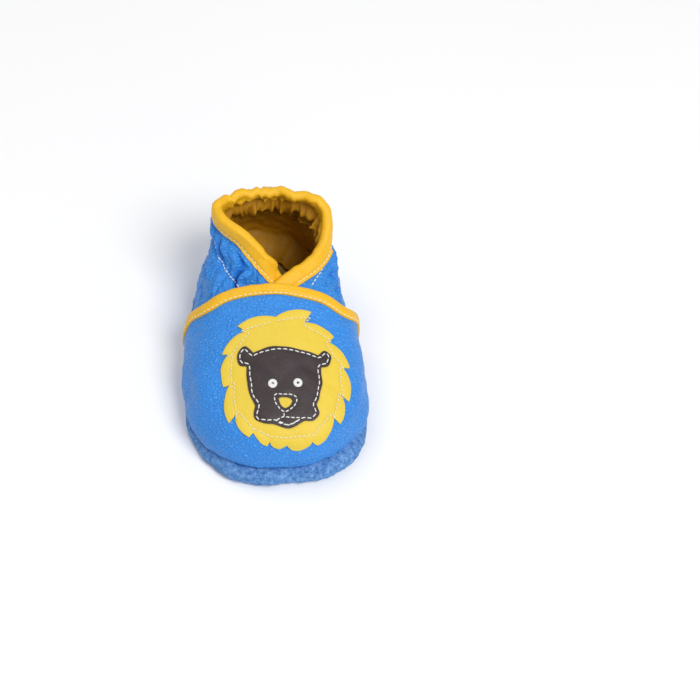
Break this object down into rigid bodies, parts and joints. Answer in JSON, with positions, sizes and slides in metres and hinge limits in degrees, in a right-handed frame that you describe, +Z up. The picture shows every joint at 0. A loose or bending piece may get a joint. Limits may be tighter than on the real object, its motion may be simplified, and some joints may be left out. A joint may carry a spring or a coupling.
{
  "type": "baby bootie",
  "caption": "Soft-soled leather baby bootie with an elastic ankle, bound collar and vamp edges and an animal-face patch sewn on the toe.",
  "frame": {"origin": "on the floor under the middle of the sole", "axes": "+Z up, toe towards -Y, +X to the wearer's left"},
  "size_m": [0.0738, 0.12, 0.0547],
  "materials": {
    "blue_leather": "soft pebbled satin",
    "blue_suede": "matt nap",
    "yellow_leather": "soft satin",
    "lemon_leather": "soft satin",
    "brown_leather": "soft satin",
    "lining": "soft matt",
    "foam": "matt",
    "insole_fabric": "matt",
    "elastic": "matt woven",
    "white_thread": "twisted",
    "yellow_thread": "twisted",
    "cream_thread": "twisted"
  },
  "bodies": {
    "root": {"suede_outsole": "blue_suede", "insole_pad": "foam", "insole_cover": "insole_fabric", "quarter": "blue_leather", "quarter_lining": "lining", "elastic_band": "elastic", "vamp": "blue_leather", "collar_binding": "yellow_leather", "vamp_binding": "yellow_leather", "mane": "lemon_leather", "face": "brown_leather", "left_eye": "white_thread", "right_eye": "white_thread", "ankle_stitching": "white_thread", "collar_binding_stitching": "yellow_thread", "vamp_binding_stitching": "yellow_thread", "mane_stitching": "cream_thread", "face_stitching": "white_thread", "muzzle_stitching": "white_thread"}
  },
  "joints": []
}
